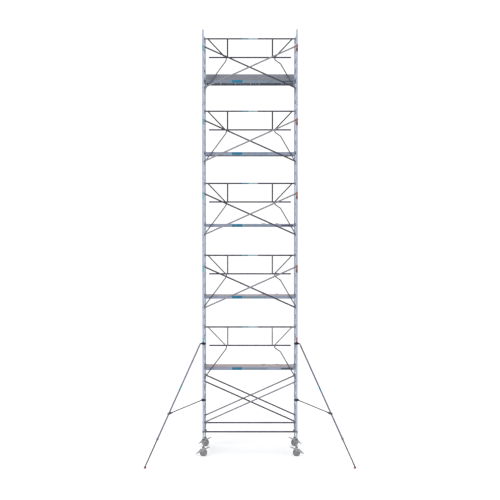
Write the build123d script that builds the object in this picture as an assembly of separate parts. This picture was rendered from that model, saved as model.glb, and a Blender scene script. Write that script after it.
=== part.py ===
from build123d import *
import os
from math import atan2, cos, degrees, hypot, radians, sin

# Mobile tower scaffold: aluminium ladder frames stacked in five lifts, hook-on decks,
# advance guardrails, diagonal and horizontal braces, four braked castors on screw legs
# and two folding stabilisers on the front posts.
# Frame: +Z up from the floor, X along the decks, -Y to the stabiliser side. Millimetres.
# The model is built about the tower's own centre line and moved once, at the end, so
# that the origin is the centre of the footprint on the floor.

# ---- driving dimensions ------------------------------------------------------------
BAY = 2500.0              # left rung axes to right rung axes
DEPTH = 1300.0            # front post axes to rear post axes
PITCH = 280.0             # rung to rung
FIRST_RUNG = 610.0        # height of the lowest rung
BASE_RUNGS = 4
FRAME_RUNGS = 7
LIFTS = 5
POST_R = 25.4
POST_WALL = 2.6
RUNG_R = 24.0
RUNG_WALL = 2.0
TUBE_WALL = 2.0
FIRST_DECK_RUNG = 6
GAP = 0.6                 # clearance between pieces that touch loosely
RUN = 0.06                # radial clearance of a running fit

HALF_BAY = BAY / 2
HALF_DEPTH = DEPTH / 2
POST_BORE = POST_R - POST_WALL
BASE_BOTTOM = FIRST_RUNG - PITCH / 2

# spigots and locking clips
SPIGOT_R = POST_BORE - 0.3
SPIGOT_WALL = 2.0
SPIGOT_REACH = 150.0
CLIP_DROP = 28.0
CLIP_PIN_R = 4.0
CLIP_BAND = 12.0
CLIP_WALL = 2.0

# claws and braces
CLAW_WIDTH = 44.0
CLAW_WALL = 9.0
CLAW_NECK = 62.0
BRACE_R = 20.0
HORIZONTAL_R = 21.0
BRACE_RUNGS = 4           # rungs that one diagonal climbs
BRACE_NEAR = 598.0        # distance of the two diagonals from the tower's middle plane
BRACE_FAR = 508.0

# guardrail frames
RAIL_R = 19.0
STRUT_R = 16.5
LEG_TUBE_R = 15.0
GUARDRAIL_Y = -10.0
RAIL_RUNGS = 4            # top rail, rungs above the deck's rung
MID_RAIL_DROP = 505.0
MID_RAIL_HALF = 1110.0
VERTICAL_X = 610.0
STRUT_TOP_X = 1150.0
STRUT_FOOT_X = 668.0

# decks
DECK_FRONT = 30.0
DECK_WIDTH = 590.0
DECK_RISE = 18.0          # deck surface above its rung's axis
BEAM_HEIGHT = 88.0
BEAM_FLANGE = 34.0
BEAM_WALL = 3.0
PLY = 12.0
DECK_END = -RUNG_R - 8    # end of the deck, from its rung's axis
DECK_HALF = HALF_BAY + DECK_END
HOOK_WIDTH = BEAM_FLANGE - BEAM_WALL - 2
HATCH_X = 560.0           # middle of the hatch along the deck
HATCH_LENGTH = 620.0
HATCH_WIDTH = 440.0
HATCH_GAP = 3.0
HINGE_R = 6.0
HINGE_PIN_R = 3.0
TOE_HEIGHT = 150.0
TOE_WALL = 18.0

# screw legs and castors
LEG_R = 19.0
LEG_WALL = 4.0
LEG_TOP = 960.0
HOUSING_R = 31.0
HOUSING_LOW = 236.0
HOUSING_HIGH = 262.0
KINGPIN_R = 10.0
NUT_R = 33.0
NUT_HEIGHT = 42.0
WHEEL_R = 100.0
TYRE_WIDTH = 46.0
RIM_R = 82.0
HUB_R = 22.0
HUB_LENGTH = 58.0
AXLE_R = 8.0
FORK_IN = 31.0
FORK_PLATE = 6.0
CROWN_LOW = 214.0
PEDAL_PIVOT = 165.0
PEDAL_TILT = 27.0
PEDAL_OUT = 170.0
PEDAL_IN = 138.0
PEDAL_PLATE = 4.0

# stabilisers
STABILISER_TURN = 45.0
UPPER_CLAMP = 3030.0
LOWER_CLAMP = 1512.0
UPPER_PIN = 110.0         # clamp pins, from the post's axis
LOWER_PIN = 70.0
FOOT_REACH = 2020.0
FOOT_PIN = 40.0
JOINT_PIN_R = 6.0
MAIN_R = 21.0
MAIN_WALL = 2.5
EXTENSION_R = 17.5
EXTENSION_WALL = 2.5
STABILISER_STRUT_R = 14.0
STRUT_MEETS = 1295.0      # height where the strut meets the main tube
MAIN_LENGTH = 2800.0
MAIN_OVERLAP = 900.0      # how far the extension reaches up inside the main tube
FORK_REACH = 118.0        # from the strut's fork root to the main tube's axis
FORK_ROOT = 20.0
FOOT_R = 36.0

SIDES = {"left": -1, "right": 1}
CORNERS = {
    "front_left": (-1, -1),
    "front_right": (1, -1),
    "rear_left": (-1, 1),
    "rear_right": (1, 1),
}
PARTS = {}


def add(name, *shapes):
    """Collect the separate solids of one named sub-part."""
    for shape in shapes:
        PARTS.setdefault(name, []).extend(shape.solids())


def rung_height(index):
    return FIRST_RUNG + PITCH * index


def joint_height(lift):
    """Top of the base frame for lift 0, then one frame higher each lift."""
    return rung_height(BASE_RUNGS - 0.5 + FRAME_RUNGS * lift)


def deck_rung(lift):
    return FIRST_DECK_RUNG + FRAME_RUNGS * lift


def rod(start, end, radius):
    start = Vector(*start)
    axis = Vector(*end) - start
    return Solid.make_cylinder(radius, axis.length, Plane(start, z_dir=axis))


def pipe(start, end, radius, wall=TUBE_WALL):
    return rod(start, end, radius) - rod(start, end, radius - wall)


def block(low, high):
    size = [b - a for a, b in zip(low, high)]
    return Pos(*low) * Box(*size, align=(Align.MIN, Align.MIN, Align.MIN))


def side_plate(points, y_low, y_high):
    """A plate cut from an X-Z outline."""
    outline = make_face(Polyline(*[(x, 0, z) for x, z in points], close=True))
    return Pos(0, y_high, 0) * extrude(outline, amount=y_high - y_low, dir=(0, -1, 0))


# ---- ladder frames -----------------------------------------------------------------
def ladder_frame(rungs, with_spigots):
    """Two posts and their rungs about x = 0, with the frame's lower end at z = 0."""
    height = PITCH * rungs
    pieces = []
    posts = [rod((0, y, 0), (0, y, height), POST_R) for y in (-HALF_DEPTH, HALF_DEPTH)]
    for y in (-HALF_DEPTH, HALF_DEPTH):
        # The quarter turn keeps the seam of the round faces away from the pin holes.
        place = Pos(0, y, 0) * Rot(0, 0, 90)
        post = place * pipe((0, 0, 0), (0, 0, height), POST_R, POST_WALL)
        pin_z = height - CLIP_DROP
        post -= rod((0, y, pin_z), (POST_R + 5, y, pin_z), CLIP_PIN_R + 0.3)
        pieces.append(post)
        if with_spigots:
            ends = (0, 0, -SPIGOT_REACH), (0, 0, SPIGOT_REACH)
            spigot = place * pipe(*ends, SPIGOT_R, SPIGOT_WALL)
            spigot -= rod((0, y, -CLIP_DROP), (POST_R, y, -CLIP_DROP), CLIP_PIN_R + 0.3)
            pieces.append(spigot)
    rung = pipe((0, -HALF_DEPTH, 0), (0, HALF_DEPTH, 0), RUNG_R, RUNG_WALL)
    rung -= [Pos(0, 0, -height / 2) * post for post in posts]
    for index in range(rungs):
        pieces.append(Pos(0, 0, PITCH * (index + 0.5)) * rung)
    return Compound(children=[solid for piece in pieces for solid in piece.solids()])


def place_end(shape, side, height):
    """Move a frame to one end of the tower, its clip holes facing outward."""
    turn = 0 if side > 0 else 180
    return Pos(side * HALF_BAY, 0, height) * Rot(0, 0, turn) * shape


def frames():
    base = ladder_frame(BASE_RUNGS, False)
    upper = ladder_frame(FRAME_RUNGS, True)
    for name, side in SIDES.items():
        add(f"base_frame_{name}", place_end(base, side, BASE_BOTTOM))
        for lift in range(LIFTS):
            add(f"ladder_frame_{name}_{lift + 1}", place_end(upper, side, joint_height(lift)))


def locking_clips():
    """At each spigot joint a headed pin, held by a split spring band round the post."""
    inner = POST_R + 0.4
    half = CLIP_BAND / 2
    band = rod((0, 0, -half), (0, 0, half), inner + CLIP_WALL)
    band -= rod((0, 0, -half), (0, 0, half), inner)
    band -= block((-inner - 9, -7, -half - 1), (-inner + 9, 7, half + 1))
    band -= rod((0, 0, 0), (inner + 9, 0, 0), CLIP_PIN_R + 0.3)
    shoulder = inner + CLIP_WALL + 0.2
    pin = rod((POST_BORE - 8, 0, 0), (shoulder, 0, 0), CLIP_PIN_R)
    pin += rod((shoulder, 0, 0), (shoulder + 7, 0, 0), 2 * CLIP_PIN_R)
    for lift in range(LIFTS):
        for x_sign, y_sign in CORNERS.values():
            turn = 0 if x_sign > 0 else 180
            place = Pos(x_sign * HALF_BAY, y_sign * HALF_DEPTH, joint_height(lift) - CLIP_DROP)
            place = place * Rot(0, 0, turn)
            add("frame_locking_clips", place * band, place * pin)


# ---- claws and braces --------------------------------------------------------------
def claw(grip_r, tube_r, neck=CLAW_NECK):
    """Claw round a bar along Y at the origin; its tube leaves along +X from x = neck."""
    inner = grip_r + GAP
    outer = inner + CLAW_WALL
    half = CLAW_WIDTH / 2
    ring = rod((0, -half, 0), (0, half, 0), outer) - rod((0, -half, 0), (0, half, 0), inner)
    mouth = inner * 0.72
    ring -= block((-outer - 2, -half - 1, -mouth), (-inner * 0.35, half + 1, mouth))
    saddle = rod((0, -2 * half, 0), (0, 2 * half, 0), inner)
    shank = rod((0, 0, 0), (neck + 40, 0, 0), tube_r - TUBE_WALL - 0.2) - saddle
    collar = rod((0, 0, 0), (neck - 0.2, 0, 0), tube_r) - saddle
    return ring + shank + collar


def claw_latch(grip_r):
    """Spring latch that closes the claw's mouth."""
    inner = grip_r + GAP
    low = block((-inner - CLAW_WALL, -5, -inner * 0.7), (-inner + 3, 5, inner * 0.62))
    pivot = rod((-inner - 4, -9, -inner * 0.5), (-inner - 4, 9, -inner * 0.5), 3.0)
    keep_out = rod((0, -20, 0), (0, 20, 0), inner)
    return (low + pivot) - keep_out


def clawed_tube(start, end, y, tube_r, grip_r):
    """A straight brace in the X-Z plane with a claw at each end."""
    length = hypot(end[0] - start[0], end[1] - start[1])
    slope = degrees(atan2(end[1] - start[1], end[0] - start[0]))
    head = claw(grip_r, tube_r)
    latch = claw_latch(grip_r)
    tube = pipe((CLAW_NECK, 0, 0), (length - CLAW_NECK, 0, 0), tube_r)
    far = Pos(length, 0, 0) * Rot(0, 0, 180)
    pieces = [tube, head, latch, far * head, far * latch]
    place = Pos(start[0], y, start[1]) * Rot(0, -slope, 0)
    return [place * piece for piece in pieces]


def crossed_pair(low_rung, near, far):
    """Two diagonals from rung to rung, crossing in the middle of the bay."""
    low = rung_height(low_rung)
    high = rung_height(low_rung + BRACE_RUNGS)
    rising = clawed_tube((-HALF_BAY, low), (HALF_BAY, high), near, BRACE_R, RUNG_R)
    falling = clawed_tube((-HALF_BAY, high), (HALF_BAY, low), far, BRACE_R, RUNG_R)
    return rising + falling


def diagonal_braces():
    front_rungs = [1] + [deck_rung(lift) - 1 for lift in range(1, LIFTS)]
    for low_rung in front_rungs:
        add("front_diagonal_braces", *crossed_pair(low_rung, -BRACE_NEAR, -BRACE_FAR))
    add("rear_diagonal_braces", *crossed_pair(1, BRACE_FAR, BRACE_NEAR))


def horizontal_braces():
    """Front and rear, clawed on the posts and resting on the lowest rungs."""
    height = FIRST_RUNG + RUNG_R + CLAW_WIDTH / 2 + 1
    pieces = clawed_tube((-HALF_BAY, 0), (HALF_BAY, 0), 0, HORIZONTAL_R, POST_R)
    for y in (-HALF_DEPTH, HALF_DEPTH):
        for piece in pieces:
            add("horizontal_braces", Pos(0, y, height) * Rot(90, 0, 0) * piece)


# ---- guardrail frames --------------------------------------------------------------
def bent_tube(points, radius, bend):
    """A tube with rounded bends through X-Z points."""
    path = FilletPolyline(*[(x, 0, z) for x, z in points], radius=bend)
    start = Plane(path @ 0, z_dir=path % 0)
    section = start * (Circle(radius) - Circle(radius - TUBE_WALL))
    return sweep(section, path=path)


def clawed_leg(points, bend):
    """A bent leg whose last point is the rung that its foot claw grips."""
    (x_in, z_in), (x_rung, z_rung) = points[-2], points[-1]
    run = hypot(x_rung - x_in, z_rung - z_in)
    toward = ((x_in - x_rung) / run, (z_in - z_rung) / run)
    shoulder = (x_rung + toward[0] * CLAW_NECK, z_rung + toward[1] * CLAW_NECK)
    tube = bent_tube(points[:-1] + [shoulder], LEG_TUBE_R, bend)
    turn = degrees(atan2(toward[1], toward[0]))
    place = Pos(x_rung, 0, z_rung) * Rot(0, -turn, 0)
    return [tube, place * claw(RUNG_R, LEG_TUBE_R), place * claw_latch(RUNG_R)]


def rail_cap(side):
    """Plastic plug in an open end of the middle rail."""
    x = side * MID_RAIL_HALF
    head = rod((x, 0, 0), (x + side * 6, 0, 0), RAIL_R)
    return head + rod((x, 0, 0), (x - side * 25, 0, 0), RAIL_R - TUBE_WALL - 0.1)


def guardrail_frame():
    """Guardrail about x = 0 with its top rail's axis at z = 0."""
    mid = -MID_RAIL_DROP
    foot = -PITCH * (RAIL_RUNGS + 1)
    top = rod((-HALF_BAY, 0, 0), (HALF_BAY, 0, 0), RAIL_R)
    middle = rod((-MID_RAIL_HALF, 0, mid), (MID_RAIL_HALF, 0, mid), RAIL_R)
    pieces = clawed_tube((-HALF_BAY, 0), (HALF_BAY, 0), 0, RAIL_R, RUNG_R)
    pieces.append(pipe((-MID_RAIL_HALF, 0, mid), (MID_RAIL_HALF, 0, mid), RAIL_R))
    for side in SIDES.values():
        upright = pipe((side * VERTICAL_X, 0, 0), (side * VERTICAL_X, 0, mid), RAIL_R)
        strut = pipe((side * STRUT_TOP_X, 0, 0), (side * STRUT_FOOT_X, 0, mid), STRUT_R)
        pieces += [upright - top - middle, strut - top - middle]
        pieces.append(Pos(0, 0, mid) * rail_cap(side))
    plain = [(-638, mid), (-650, mid - 88), (-HALF_BAY, foot)]
    cranked = [(672, mid), (676, mid - 66), (832, mid - 172), (HALF_BAY, foot)]
    for points, bend in ((plain, 100.0), (cranked, 50.0)):
        tube, head, latch = clawed_leg(points, bend)
        pieces += [tube - middle, head, latch]
    return pieces


def guardrails():
    pieces = guardrail_frame()
    for lift in range(LIFTS):
        height = rung_height(deck_rung(lift) + RAIL_RUNGS)
        for piece in pieces:
            add(f"guardrail_frame_{lift + 1}", Pos(0, GUARDRAIL_Y, height) * piece)


# ---- decks -------------------------------------------------------------------------
# Each deck is drawn about x = 0 with its end rungs' axes at z = 0.
BEAM_LOW = DECK_RISE - BEAM_HEIGHT
PLY_LOW = DECK_RISE - PLY
DECK_REAR = DECK_FRONT + DECK_WIDTH
HATCH_REAR = DECK_REAR - 56.0
HATCH_FRONT = HATCH_REAR - HATCH_WIDTH
HATCH_LAP = 12.0
HINGE_Y = HATCH_REAR + 8.0
HINGE_Z = DECK_RISE + HINGE_R + 1.0


def channel(length):
    """C-section beam along X: web on the outer side, a ledge for the boards inside."""
    half = length / 2
    web = block((-half, 0, BEAM_LOW), (half, BEAM_WALL, DECK_RISE))
    ledge = block((-half, 0, PLY_LOW - BEAM_WALL), (half, BEAM_FLANGE, PLY_LOW))
    foot = block((-half, 0, BEAM_LOW), (half, BEAM_FLANGE, BEAM_LOW + BEAM_WALL))
    return web + ledge + foot


def deck_hook():
    """Hook over the right-hand rung; its body sits in the end of a side beam."""
    inner = RUNG_R + GAP
    outer = inner + 10
    half = HOOK_WIDTH / 2
    body = block((DECK_END - 60, -half, BEAM_LOW + 4), (DECK_END, half, PLY_LOW - 4))
    arm = block((DECK_END, -half, -40), (0, half, outer * 0.75))
    cap = rod((0, -half, 0), (0, half, 0), outer)
    cap -= block((-outer, -half, -outer), (outer, half, 0))
    lip = block((inner, -half, -12), (outer, half, 0))
    return (body + arm + cap + lip) - rod((0, -half, 0), (0, half, 0), inner)


def wind_latch():
    """Swing catch under the rung that stops the deck lifting off."""
    bar = block((DECK_END, -4, -40), (14, 4, -28))
    stem = block((DECK_END, -4, -40), (-RUNG_R - GAP, 4, -14))
    return bar + stem


def platform_frame():
    side_beam = channel(2 * DECK_HALF)
    end_beam = channel(DECK_WIDTH - 2 * BEAM_FLANGE - 2)
    middle_y = (DECK_FRONT + DECK_REAR) / 2
    pieces = [
        Pos(0, DECK_FRONT, 0) * side_beam,
        Pos(0, DECK_REAR, 0) * Rot(0, 0, 180) * side_beam,
        Pos(-DECK_HALF, middle_y, 0) * Rot(0, 0, -90) * end_beam,
        Pos(DECK_HALF, middle_y, 0) * Rot(0, 0, 90) * end_beam,
    ]
    hook_inset = BEAM_WALL + 0.5 + HOOK_WIDTH / 2
    for turn, x in ((0, HALF_BAY), (180, -HALF_BAY)):
        for y in (DECK_FRONT + hook_inset, DECK_REAR - hook_inset):
            pieces.append(Pos(x, y, 0) * Rot(0, 0, turn) * deck_hook())
        pieces.append(Pos(x, middle_y, 0) * Rot(0, 0, turn) * wind_latch())
    inside = (DECK_FRONT + BEAM_FLANGE + 1, DECK_REAR - BEAM_FLANGE - 1)
    hatch = (HATCH_X - HATCH_LENGTH / 2, HATCH_X + HATCH_LENGTH / 2)
    for x in (-820.0, -410.0, 0.0, hatch[0] - 16, hatch[1] - 14):
        pieces.append(block((x, inside[0], BEAM_LOW + 20), (x + 30, inside[1], PLY_LOW)))
    for y in (HATCH_FRONT, HATCH_REAR - HATCH_LAP):
        low = (hatch[0] + 15, y, BEAM_LOW + 40)
        pieces.append(block(low, (hatch[1] - 15, y + HATCH_LAP, PLY_LOW - 0.4)))
    for x in (hatch[0] + 120, hatch[1] - 120):
        pieces += fixed_hinge(x)
    return pieces


def fixed_hinge(x):
    """Leaf with two lugs and the hinge pin, on the deck behind the hatch."""
    leaf = block((x - 40, HINGE_Y + 8, DECK_RISE), (x + 40, HINGE_Y + 24, DECK_RISE + 3))
    lug_front = HINGE_Y - HINGE_R
    lug_top = HINGE_Z + HINGE_R
    for low in (x - 40, x + 22):
        leaf += block((low, lug_front, DECK_RISE), (low + 18, HINGE_Y + 9, lug_top))
    pin_from = (x - 44, HINGE_Y, HINGE_Z)
    pin_to = (x + 44, HINGE_Y, HINGE_Z)
    bore = rod(pin_from, pin_to, HINGE_PIN_R)
    return [leaf - bore, rod(pin_from, pin_to, HINGE_PIN_R)]


def deck_boards():
    """Four plywood boards that leave the hatch open."""
    half = DECK_HALF - BEAM_WALL - 1
    front = DECK_FRONT + BEAM_WALL + 0.5
    rear = DECK_REAR - BEAM_WALL - 0.5
    left = HATCH_X - HATCH_LENGTH / 2 - HATCH_GAP
    right = HATCH_X + HATCH_LENGTH / 2 + HATCH_GAP
    z = (PLY_LOW, DECK_RISE)
    return [
        block((-half, front, z[0]), (left, rear, z[1])),
        block((right, front, z[0]), (half, rear, z[1])),
        block((left, front, z[0]), (right, HATCH_FRONT - HATCH_GAP, z[1])),
        block((left, HATCH_REAR + HATCH_GAP, z[0]), (right, rear, z[1])),
    ]


def trapdoor():
    """Plywood door, its two hinge straps and a flush latch plate."""
    left = HATCH_X - HATCH_LENGTH / 2
    right = HATCH_X + HATCH_LENGTH / 2
    panel = block((left, HATCH_FRONT, PLY_LOW + 0.4), (right, HATCH_REAR, DECK_RISE))
    pieces = [panel]
    for x in (left + 120, right - 120):
        strap = block((x - 21, HINGE_Y - 70, DECK_RISE), (x + 21, HINGE_Y - 3, DECK_RISE + 3))
        knuckle = rod((x - 21, HINGE_Y, HINGE_Z), (x + 21, HINGE_Y, HINGE_Z), HINGE_R)
        bore = rod((x - 22, HINGE_Y, HINGE_Z), (x + 22, HINGE_Y, HINGE_Z), HINGE_PIN_R + RUN)
        pieces.append((strap + knuckle) - bore)
    latch = Box(90, 32, 4, align=(Align.CENTER, Align.MIN, Align.MIN))
    pieces.append(Pos(HATCH_X, HATCH_FRONT + 14, DECK_RISE) * latch)
    return pieces


def decks():
    frame, boards, door = platform_frame(), deck_boards(), trapdoor()
    for lift in range(LIFTS):
        place = Pos(0, 0, rung_height(deck_rung(lift)))
        add(f"platform_frame_{lift + 1}", *[place * piece for piece in frame])
        add("platform_boards", *[place * piece for piece in boards])
        add(f"trapdoor_{lift + 1}", *[place * piece for piece in door])


def toe_boards():
    """Boards round the top deck and a bracket at each corner."""
    low = rung_height(deck_rung(LIFTS - 1)) + DECK_RISE
    high = low + TOE_HEIGHT
    reach = DECK_HALF - 22
    front = DECK_FRONT + 2
    rear = DECK_REAR - 2
    boards = [
        block((-reach, front, low), (reach, front + TOE_WALL, high)),
        block((-reach, rear - TOE_WALL, low), (reach, rear, high)),
    ]
    for x in (-reach, reach - TOE_WALL):
        start = (x, front + TOE_WALL + 0.5, low)
        boards.append(block(start, (x + TOE_WALL, rear - TOE_WALL - 0.5, high)))
    for x_sign in SIDES.values():
        for y, y_sign in ((front, -1), (rear, 1)):
            x = x_sign * reach
            along_x = sorted((x - x_sign * 60, x + x_sign * 3.5))
            along_y = sorted((y - y_sign * 60, y + y_sign * 3.5))
            long_leaf = sorted((y + y_sign * 0.5, y + y_sign * 3.5))
            end_leaf = sorted((x + x_sign * 0.5, x + x_sign * 3.5))
            z = (low + 30, low + 100)
            bracket = block((along_x[0], long_leaf[0], z[0]), (along_x[1], long_leaf[1], z[1]))
            bracket += block((end_leaf[0], along_y[0], z[0]), (end_leaf[1], along_y[1], z[1]))
            boards.append(bracket)
    add("toe_boards", *boards)


# ---- screw legs and castors --------------------------------------------------------
# Each is drawn about its post's axis, for a corner on the right-hand side.
def screw_leg():
    """Threaded tube with the castor's swivel housing welded on."""
    spindle = pipe((0, 0, HOUSING_HIGH), (0, 0, LEG_TOP), LEG_R, LEG_WALL)
    housing = rod((0, 0, HOUSING_LOW), (0, 0, HOUSING_HIGH), HOUSING_R)
    housing -= rod((0, 0, HOUSING_LOW), (0, 0, HOUSING_HIGH), KINGPIN_R + RUN)
    return [spindle, housing]


def adjusting_nut():
    top = BASE_BOTTOM
    body = rod((0, 0, top - NUT_HEIGHT), (0, 0, top), NUT_R)
    for angle in (60, 240):
        tip = (80 * cos(radians(angle)), 80 * sin(radians(angle)), top - 24)
        body += rod((0, 0, top - 24), tip, 7)
        body += Pos(*tip) * Sphere(9)
    return body - rod((0, 0, top - NUT_HEIGHT), (0, 0, top), LEG_R + RUN)


def castor_fork():
    """Crown and kingpin, two side plates, the axle and the pedal's pivots."""
    crown_high = HOUSING_LOW - 1.0
    reach = FORK_IN + FORK_PLATE
    crown = rod((0, 0, CROWN_LOW), (0, 0, crown_high), 36)
    crown += block((-24, -reach, CROWN_LOW), (24, reach, crown_high - 6))
    crown += rod((0, 0, crown_high - 1), (0, 0, HOUSING_HIGH + 2), KINGPIN_R)
    pieces = [crown]
    outline = [
        (-26, CROWN_LOW),
        (26, CROWN_LOW),
        (26, PEDAL_PIVOT),
        (17, WHEEL_R - 16),
        (-17, WHEEL_R - 16),
        (-26, PEDAL_PIVOT),
    ]
    for side in (-1, 1):
        inner, outer = side * FORK_IN, side * (FORK_IN + FORK_PLATE)
        plate = side_plate(outline, min(inner, outer), max(inner, outer))
        plate -= rod((0, -60, WHEEL_R), (0, 60, WHEEL_R), AXLE_R)
        pieces.append(plate)
        stud_end = outer + side * (PEDAL_PLATE + 4)
        stud = rod((0, outer, PEDAL_PIVOT), (0, stud_end, PEDAL_PIVOT), 6)
        pieces.append(stud)
    axle = rod((0, -reach - 2, WHEEL_R), (0, reach + 2, WHEEL_R), AXLE_R)
    for side in (-1, 1):
        axle += rod((0, side * reach, WHEEL_R), (0, side * (reach + 8), WHEEL_R), 12.5)
    pieces.append(axle)
    return pieces


def castor_wheel():
    """Tyre and hub turning on the axle."""
    half = TYRE_WIDTH / 2
    tyre = rod((0, -half, WHEEL_R), (0, half, WHEEL_R), WHEEL_R)
    tyre = fillet(tyre.edges().filter_by(GeomType.CIRCLE), 8)
    tyre -= rod((0, -half, WHEEL_R), (0, half, WHEEL_R), RIM_R)
    rim = rod((0, -half + 4, WHEEL_R), (0, half - 4, WHEEL_R), RIM_R)
    for side in (-1, 1):
        dish = rod((0, side * (half - 4), WHEEL_R), (0, side * (half - 14), WHEEL_R), RIM_R - 10)
        rim -= dish
    rim += rod((0, -HUB_LENGTH / 2, WHEEL_R), (0, HUB_LENGTH / 2, WHEEL_R), HUB_R)
    rim -= rod((0, -HUB_LENGTH / 2, WHEEL_R), (0, HUB_LENGTH / 2, WHEEL_R), AXLE_R + RUN)
    return [tyre, rim]


def brake_pedal():
    """Rocker with a pedal at each end and a shoe over the tyre; the outer arm is down."""
    inner = FORK_IN + FORK_PLATE + 1.0
    slope = sin(radians(PEDAL_TILT)) / cos(radians(PEDAL_TILT))
    shoe = (62, 187.5)
    lowest = PEDAL_PIVOT - PEDAL_OUT * slope
    highest = PEDAL_PIVOT + PEDAL_IN * slope
    outline = [
        (PEDAL_OUT, lowest - 9),
        (PEDAL_OUT, lowest + 9),
        (shoe[0] + 12, shoe[1] + 4),
        (shoe[0] - 10, shoe[1] + 8),
        (20, PEDAL_PIVOT + 12),
        (-PEDAL_IN, highest + 8),
        (-PEDAL_IN, highest - 8),
        (0, PEDAL_PIVOT - 15),
    ]
    pieces = []
    for side in (-1, 1):
        low = side * inner
        high = side * (inner + PEDAL_PLATE)
        plate = side_plate(outline, min(low, high), max(low, high))
        plate -= rod((0, -60, PEDAL_PIVOT), (0, 60, PEDAL_PIVOT), 6 + RUN)
        pieces.append(plate)
    shoe_from = (shoe[0], -inner, shoe[1])
    pieces.append(rod(shoe_from, (shoe[0], inner, shoe[1]), 6))
    for x, z in ((PEDAL_OUT, lowest), (-PEDAL_IN, highest)):
        sign = 1 if x > 0 else -1
        edge = inner + PEDAL_PLATE
        tread = Box(34, 2 * edge, 6)
        pieces.append(Pos(x + sign * 17, 0, z) * tread)
    return pieces


def castors():
    leg, nut, fork = screw_leg(), adjusting_nut(), castor_fork()
    wheel, pedal = castor_wheel(), brake_pedal()
    for name, (x_sign, y_sign) in CORNERS.items():
        turn = 0 if x_sign > 0 else 180
        place = Pos(x_sign * HALF_BAY, y_sign * HALF_DEPTH, 0) * Rot(0, 0, turn)
        add("leg_adjusting_nuts", place * nut)
        add(f"screw_leg_{name}", *[place * piece for piece in leg])
        add(f"castor_fork_{name}", *[place * piece for piece in fork])
        add(f"castor_wheel_{name}", *[place * piece for piece in wheel])
        add(f"brake_pedal_{name}", *[place * piece for piece in pedal])


# ---- stabilisers -------------------------------------------------------------------
# Drawn in the X-Z plane with the post's axis at x = 0 and the foot on the +X side.
SPREAD = atan2(FOOT_REACH - UPPER_PIN, UPPER_CLAMP - FOOT_PIN)
MAIN_TOTAL = hypot(FOOT_REACH - UPPER_PIN, UPPER_CLAMP - FOOT_PIN)
MEET_X = UPPER_PIN + (UPPER_CLAMP - STRUT_MEETS) * sin(SPREAD) / cos(SPREAD)
STRUT_TOTAL = hypot(MEET_X - LOWER_PIN, LOWER_CLAMP - STRUT_MEETS)
STRUT_SLOPE = atan2(MEET_X - LOWER_PIN, LOWER_CLAMP - STRUT_MEETS)


def hanging(x, z, angle):
    """Where a shape drawn down the -Z axis hangs from (x, z), swung outward by the angle."""
    return Pos(x, 0, z) * Rot(0, -degrees(angle), 0)


def eye(reach, root, radius, half=8.0):
    """Flat eye on a round plug; the pin hole is at the origin."""
    tongue = rod((0, -half, 0), (0, half, 0), 13) + block((-13, -half, -reach), (13, half, 0))
    plug = rod((0, 0, -reach), (0, 0, -root), radius)
    return (tongue + plug) - rod((0, -half, 0), (0, half, 0), JOINT_PIN_R + RUN)


def post_clamp(height, pin_x):
    """Two half shells, their bolts and wing nuts, and a clevis with its pin."""
    low, high = height - 31, height + 31
    ears = block((-POST_R - 4, -POST_R - 30, low + 8), (POST_R + 4, POST_R + 30, high - 8))
    shell = rod((0, 0, low), (0, 0, high), POST_R + 11) + ears
    for side in (-1, 1):
        y = sorted((side * 9.0, side * 16.0))
        shell += block((POST_R + 4, y[0], height - 15), (pin_x, y[1], height + 15))
        shell += rod((pin_x, y[0], height), (pin_x, y[1], height), 14)
    shell -= rod((0, 0, low - 1), (0, 0, high + 1), POST_R + RUN)
    shell -= block((-3, -80, low - 1), (3, 80, high + 1))
    bolts = []
    for side in (-1, 1):
        y = side * (POST_R + 20)
        bolt = rod((-POST_R - 26, y, height), (POST_R + 12, y, height), 5)
        bolt += rod((POST_R + 4, y, height), (POST_R + 12, y, height), 9)
        wing = block((-POST_R - 20, y - 4, height - 24), (-POST_R - 12, y + 4, height + 24))
        bolt += wing + rod((-POST_R - 22, y, height), (-POST_R - 4, y, height), 9)
        bolts.append(bolt)
    pin = rod((pin_x, -20, height), (pin_x, 20, height), JOINT_PIN_R)
    for side in (-1, 1):
        pin += rod((pin_x, side * 16.2, height), (pin_x, side * 22, height), 10)
    drilled = shell - rod((pin_x, -30, height), (pin_x, 30, height), JOINT_PIN_R)
    for bolt in bolts:
        drilled -= bolt
    return [drilled, *bolts, pin]


def main_tube():
    """Outer tube from the upper clamp, with its eye and the locking collar."""
    tube = pipe((0, 0, -45), (0, 0, -MAIN_LENGTH), MAIN_R, MAIN_WALL)
    collar = rod((0, 0, -MAIN_LENGTH + 60), (0, 0, -MAIN_LENGTH - 6), MAIN_R + 6)
    collar -= rod((0, 0, -MAIN_LENGTH + 60), (0, 0, -MAIN_LENGTH), MAIN_R)
    collar -= rod((0, 0, -MAIN_LENGTH), (0, 0, -MAIN_LENGTH - 6), EXTENSION_R + 0.8)
    screw = rod((0, MAIN_R + 6.2, -MAIN_LENGTH + 30), (0, MAIN_R + 30, -MAIN_LENGTH + 30), 5)
    screw += rod((-16, MAIN_R + 23, -MAIN_LENGTH + 30), (16, MAIN_R + 23, -MAIN_LENGTH + 30), 4)
    return [tube, eye(44.8, 90, MAIN_R - MAIN_WALL - 0.1), collar, screw]


def extension_tube():
    """Inner tube that slides in the main tube; the foot hangs on its eye."""
    end = -MAIN_TOTAL
    top = -MAIN_LENGTH + MAIN_OVERLAP
    tube = pipe((0, 0, top), (0, 0, end + 40), EXTENSION_R, EXTENSION_WALL)
    plug_r = EXTENSION_R - EXTENSION_WALL - 0.1
    lower_eye = Pos(0, 0, end) * Rot(180, 0, 0) * eye(39.8, 85, plug_r)
    return [tube, lower_eye]


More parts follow.
